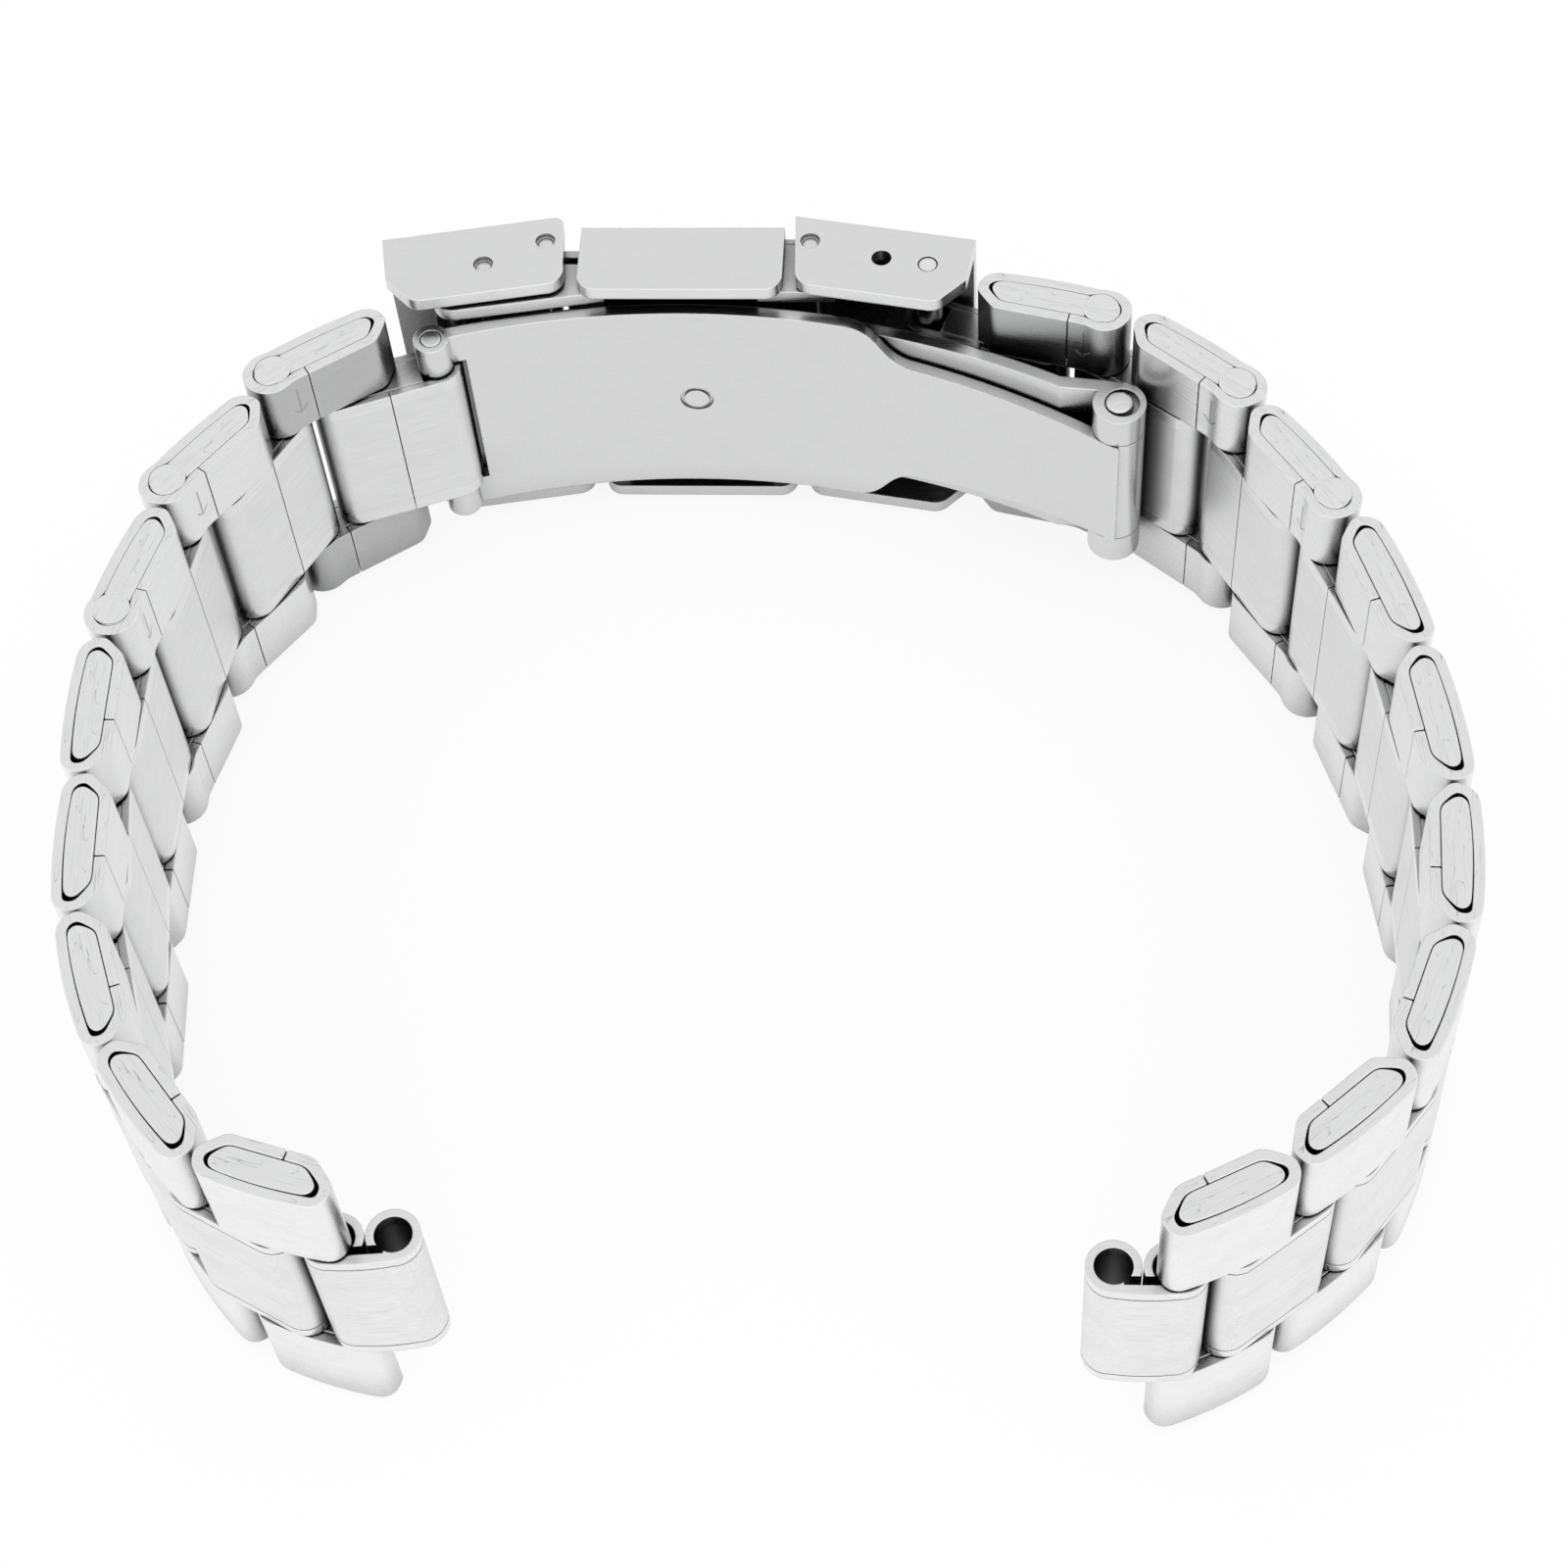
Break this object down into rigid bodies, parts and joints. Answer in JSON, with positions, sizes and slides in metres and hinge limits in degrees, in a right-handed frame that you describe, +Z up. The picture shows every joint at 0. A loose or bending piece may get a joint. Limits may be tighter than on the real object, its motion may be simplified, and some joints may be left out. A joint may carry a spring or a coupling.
{
  "type": "watch bracelet",
  "caption": "Folded-sheet link watch bracelet that tapers to a folding clasp with a safety flap, closed and standing on its side edge.",
  "frame": {"origin": "centre of the outer box in plan, on the surface that the side edge stands on", "axes": "+Z up along the pins, +Y from the lug ends towards the clasp, +X across the ring"},
  "size_m": [0.0698, 0.0662, 0.0223],
  "materials": {
    "brushed_steel": "fine brushed",
    "polished_steel": "polished"
  },
  "bodies": {
    "cover": {"bridge": "brushed_steel", "adjust_box": "brushed_steel", "box_pin": "polished_steel", "flap_pin": "polished_steel", "cover_hinge_pin": "polished_steel", "adjust_bar_tube": "polished_steel", "adjust_bar_spring": "polished_steel"},
    "safety_flap": {"safety_flap": "brushed_steel", "snap_pins": "polished_steel"},
    "mid_blade": {"mid_blade": "brushed_steel", "fold_hinge_pin": "polished_steel"},
    "inner_blade": {"inner_blade": "brushed_steel", "blade_end_pin": "polished_steel"},
    "bar_tip_upper": {"adjust_bar_tip_upper": "polished_steel"},
    "bar_tip_lower": {"adjust_bar_tip_lower": "polished_steel"},
    "centre_link_left_1": {"centre_link_left_1": "brushed_steel"},
    "outer_link_left_1": {"outer_link_left_1": "brushed_steel", "push_pin_left_1": "polished_steel"},
    "centre_link_left_2": {"centre_link_left_2": "brushed_steel"},
    "outer_link_left_2": {"outer_link_left_2": "brushed_steel", "push_pin_left_2": "polished_steel"},
    "centre_link_left_3": {"centre_link_left_3": "brushed_steel"},
    "outer_link_left_3": {"outer_link_left_3": "brushed_steel", "push_pin_left_3": "polished_steel"},
    "centre_link_left_4": {"centre_link_left_4": "brushed_steel"},
    "outer_link_left_4": {"outer_link_left_4": "brushed_steel"},
    "centre_link_left_5": {"centre_link_left_5": "brushed_steel"},
    "outer_link_left_5": {"outer_link_left_5": "brushed_steel"},
    "centre_link_left_6": {"centre_link_left_6": "brushed_steel"},
    "outer_link_left_6": {"outer_link_left_6": "brushed_steel"},
    "centre_link_left_7": {"centre_link_left_7": "brushed_steel"},
    "outer_link_left_7": {"outer_link_left_7": "brushed_steel"},
    "centre_link_left_8": {"centre_link_left_8": "brushed_steel"},
    "outer_link_left_8": {"outer_link_left_8": "brushed_steel"},
    "centre_link_left_9": {"centre_link_left_9": "brushed_steel"},
    "centre_link_right_1": {"centre_link_right_1": "brushed_steel"},
    "outer_link_right_1": {"outer_link_right_1": "brushed_steel", "push_pin_right_1": "polished_steel"},
    "centre_link_right_2": {"centre_link_right_2": "brushed_steel"},
    "outer_link_right_2": {"outer_link_right_2": "brushed_steel", "push_pin_right_2": "polished_steel"},
    "centre_link_right_3": {"centre_link_right_3": "brushed_steel"},
    "outer_link_right_3": {"outer_link_right_3": "brushed_steel", "push_pin_right_3": "polished_steel"},
    "centre_link_right_4": {"centre_link_right_4": "brushed_steel"},
    "outer_link_right_4": {"outer_link_right_4": "brushed_steel"},
    "centre_link_right_5": {"centre_link_right_5": "brushed_steel"},
    "outer_link_right_5": {"outer_link_right_5": "brushed_steel"},
    "centre_link_right_6": {"centre_link_right_6": "brushed_steel"},
    "outer_link_right_6": {"outer_link_right_6": "brushed_steel"},
    "centre_link_right_7": {"centre_link_right_7": "brushed_steel"},
    "outer_link_right_7": {"outer_link_right_7": "brushed_steel"},
    "centre_link_right_8": {"centre_link_right_8": "brushed_steel"},
    "outer_link_right_8": {"outer_link_right_8": "brushed_steel"},
    "centre_link_right_9": {"centre_link_right_9": "brushed_steel"},
    "outer_link_right_9": {"outer_link_right_9": "brushed_steel"},
    "centre_link_right_10": {"centre_link_right_10": "brushed_steel"}
  },
  "joints": [
    {"name": "clasp_fold", "type": "hinge", "parent": "cover", "child": "mid_blade", "pos_m": [-0.01416, 0.02893, 0.00941], "axis": [0, -0.0305, -0.9995], "range_deg": [0, 165]},
    {"name": "blade_fold", "type": "hinge", "parent": "mid_blade", "child": "inner_blade", "pos_m": [0.0212, 0.01853, 0.00973], "axis": [0, 0.0305, 0.9995], "range_deg": [0, 165]},
    {"name": "safety_flap_swing", "type": "hinge", "parent": "cover", "child": "safety_flap", "pos_m": [-0.00891, 0.03124, 0.00934], "axis": [0, -0.0305, -0.9995], "range_deg": [0, 95]},
    {"name": "bar_tip_upper_press", "type": "slide", "parent": "cover", "child": "bar_tip_upper", "axis": [0, -0.0305, -0.9995], "range_m": [0, 0.0008]},
    {"name": "bar_tip_lower_press", "type": "slide", "parent": "cover", "child": "bar_tip_lower", "axis": [0, 0.0305, 0.9995], "range_m": [0, 0.0008]},
    {"name": "pin_left_1", "type": "hinge", "parent": "inner_blade", "child": "centre_link_left_1", "pos_m": [-0.01565, 0.02672, 0.00948], "axis": [0, 0.0305, 0.9995], "range_deg": [-8, 30]},
    {"name": "pin_left_2", "type": "hinge", "parent": "centre_link_left_1", "child": "outer_link_left_1", "pos_m": [-0.02142, 0.02546, 0.00952], "axis": [0, -0.0305, -0.9995], "range_deg": [-16, 22]},
    {"name": "pin_left_3", "type": "hinge", "parent": "outer_link_left_1", "child": "centre_link_left_2", "pos_m": [-0.02406, 0.02415, 0.00956], "axis": [0, 0.0305, 0.9995], "range_deg": [-34.8, 4]},
    {"name": "pin_left_4", "type": "hinge", "parent": "centre_link_left_2", "child": "outer_link_left_2", "pos_m": [-0.02757, 0.01945, 0.0097], "axis": [0, -0.0305, -0.9995], "range_deg": [-37.6, 4]},
    {"name": "pin_left_5", "type": "hinge", "parent": "outer_link_left_2", "child": "centre_link_left_3", "pos_m": [-0.02964, 0.01734, 0.00977], "axis": [0, 0.0305, 0.9995], "range_deg": [-36.2, 4]},
    {"name": "pin_left_6", "type": "hinge", "parent": "centre_link_left_3", "child": "outer_link_left_3", "pos_m": [-0.03125, 0.0118, 0.00994], "axis": [0, -0.0305, -0.9995], "range_deg": [-36.5, 4]},
    {"name": "pin_left_7", "type": "hinge", "parent": "outer_link_left_3", "child": "centre_link_left_4", "pos_m": [-0.03238, 0.00909, 0.01002], "axis": [0, 0.0305, 0.9995], "range_deg": [-23.2, 14.8]},
    {"name": "pin_left_8", "type": "hinge", "parent": "centre_link_left_4", "child": "outer_link_left_4", "pos_m": [-0.03312, 0.00351, 0.01019], "axis": [0, -0.0305, -0.9995], "range_deg": [-28.5, 9.5]},
    {"name": "pin_left_9", "type": "hinge", "parent": "outer_link_left_4", "child": "centre_link_left_5", "pos_m": [-0.03342, 0.00061, 0.01028], "axis": [0, 0.0305, 0.9995], "range_deg": [-14.2, 23.8]},
    {"name": "pin_left_10", "type": "hinge", "parent": "centre_link_left_5", "child": "outer_link_left_5", "pos_m": [-0.0334, -0.0048, 0.01044], "axis": [0, -0.0305, -0.9995], "range_deg": [-33, 5]},
    {"name": "pin_left_11", "type": "hinge", "parent": "outer_link_left_5", "child": "centre_link_left_6", "pos_m": [-0.03354, -0.00769, 0.01053], "axis": [0, 0.0305, 0.9995], "range_deg": [-20, 18]},
    {"name": "pin_left_12", "type": "hinge", "parent": "centre_link_left_6", "child": "outer_link_left_6", "pos_m": [-0.03272, -0.01276, 0.01069], "axis": [0, -0.0305, -0.9995], "range_deg": [-26.2, 11.8]},
    {"name": "pin_left_13", "type": "hinge", "parent": "outer_link_left_6", "child": "centre_link_left_7", "pos_m": [-0.03208, -0.01556, 0.01077], "axis": [0, 0.0305, 0.9995], "range_deg": [-22.4, 15.6]},
    {"name": "pin_left_14", "type": "hinge", "parent": "centre_link_left_7", "child": "outer_link_left_7", "pos_m": [-0.02987, -0.01982, 0.0109], "axis": [0, -0.0305, -0.9995], "range_deg": [-25.3, 12.7]},
    {"name": "pin_left_15", "type": "hinge", "parent": "outer_link_left_7", "child": "centre_link_left_8", "pos_m": [-0.02836, -0.02222, 0.01098], "axis": [0, 0.0305, 0.9995], "range_deg": [-31.4, 6.6]},
    {"name": "pin_left_16", "type": "hinge", "parent": "centre_link_left_8", "child": "outer_link_left_8", "pos_m": [-0.02473, -0.02471, 0.01105], "axis": [0, -0.0305, -0.9995], "range_deg": [-18.7, 19.3]},
    {"name": "pin_left_17", "type": "hinge", "parent": "outer_link_left_8", "child": "centre_link_left_9", "pos_m": [-0.02216, -0.02581, 0.01109], "axis": [0, 0.0305, 0.9995], "range_deg": [-29.2, 23.8]},
    {"name": "pin_right_1", "type": "hinge", "parent": "cover", "child": "centre_link_right_1", "pos_m": [0.01177, 0.02684, 0.00948], "axis": [0, -0.0305, -0.9995], "range_deg": [-9, 0]},
    {"name": "pin_right_2", "type": "hinge", "parent": "centre_link_right_1", "child": "outer_link_right_1", "pos_m": [0.01793, 0.02386, 0.00957], "axis": [0, 0.0305, 0.9995], "range_deg": [0, 4]},
    {"name": "pin_right_3", "type": "hinge", "parent": "outer_link_right_1", "child": "centre_link_right_2", "pos_m": [0.02069, 0.02281, 0.0096], "axis": [0, -0.0305, -0.9995], "range_deg": [-25, 0.5]},
    {"name": "pin_right_4", "type": "hinge", "parent": "centre_link_right_2", "child": "outer_link_right_2", "pos_m": [0.02509, 0.01891, 0.00972], "axis": [0, 0.0305, 0.9995], "range_deg": [-25.3, 5]},
    {"name": "pin_right_5", "type": "hinge", "parent": "outer_link_right_2", "child": "centre_link_right_3", "pos_m": [0.02712, 0.01678, 0.00979], "axis": [0, -0.0305, -0.9995], "range_deg": [-27.6, 10.4]},
    {"name": "pin_right_6", "type": "hinge", "parent": "centre_link_right_3", "child": "outer_link_right_3", "pos_m": [0.02949, 0.01148, 0.00995], "axis": [0, 0.0305, 0.9995], "range_deg": [-33.2, 4.8]},
    {"name": "pin_right_7", "type": "hinge", "parent": "outer_link_right_3", "child": "centre_link_right_4", "pos_m": [0.03084, 0.00887, 0.01003], "axis": [0, -0.0305, -0.9995], "range_deg": [-18.8, 19.2]},
    {"name": "pin_right_8", "type": "hinge", "parent": "centre_link_right_4", "child": "outer_link_right_4", "pos_m": [0.03246, 0.00342, 0.01019], "axis": [0, 0.0305, 0.9995], "range_deg": [-25.5, 12.5]},
    {"name": "pin_right_9", "type": "hinge", "parent": "outer_link_right_4", "child": "centre_link_right_5", "pos_m": [0.03307, 0.00056, 0.01028], "axis": [0, -0.0305, -0.9995], "range_deg": [-16.4, 21.6]},
    {"name": "pin_right_10", "type": "hinge", "parent": "centre_link_right_5", "child": "outer_link_right_5", "pos_m": [0.03341, -0.00496, 0.01045], "axis": [0, 0.0305, 0.9995], "range_deg": [-28.9, 9.1]},
    {"name": "pin_right_11", "type": "hinge", "parent": "outer_link_right_5", "child": "centre_link_right_6", "pos_m": [0.03354, -0.00786, 0.01054], "axis": [0, -0.0305, -0.9995], "range_deg": [-16.7, 21.3]},
    {"name": "pin_right_12", "type": "hinge", "parent": "centre_link_right_6", "child": "outer_link_right_6", "pos_m": [0.03297, -0.01314, 0.0107], "axis": [0, 0.0305, 0.9995], "range_deg": [-26.6, 11.4]},
    {"name": "pin_right_13", "type": "hinge", "parent": "outer_link_right_6", "child": "centre_link_right_7", "pos_m": [0.03248, -0.01599, 0.01079], "axis": [0, -0.0305, -0.9995], "range_deg": [-20.3, 17.7]},
    {"name": "pin_right_14", "type": "hinge", "parent": "centre_link_right_7", "child": "outer_link_right_7", "pos_m": [0.0306, -0.02068, 0.01093], "axis": [0, 0.0305, 0.9995], "range_deg": [-24.9, 13.1]},
    {"name": "pin_right_15", "type": "hinge", "parent": "outer_link_right_7", "child": "centre_link_right_8", "pos_m": [0.0293, -0.02324, 0.01101], "axis": [0, -0.0305, -0.9995], "range_deg": [-25.2, 12.8]},
    {"name": "pin_right_16", "type": "hinge", "parent": "centre_link_right_8", "child": "outer_link_right_8", "pos_m": [0.02598, -0.02664, 0.01111], "axis": [0, 0.0305, 0.9995], "range_deg": [-19, 19]},
    {"name": "pin_right_17", "type": "hinge", "parent": "outer_link_right_8", "child": "centre_link_right_9", "pos_m": [0.02366, -0.02826, 0.01116], "axis": [0, -0.0305, -0.9995], "range_deg": [-11.7, 26.3]},
    {"name": "pin_right_18", "type": "hinge", "parent": "centre_link_right_9", "child": "outer_link_right_9", "pos_m": [0.01989, -0.03053, 0.01123], "axis": [0, 0.0305, 0.9995], "range_deg": [-18.8, 19.2]},
    {"name": "pin_right_19", "type": "hinge", "parent": "outer_link_right_9", "child": "centre_link_right_10", "pos_m": [0.01726, -0.03148, 0.01126], "axis": [0, -0.0305, -0.9995], "range_deg": [-34.9, 18.1]}
  ],
  "couplings": [
    {"joint": "blade_fold", "follows": "clasp_fold", "ratio": 1}
  ]
}
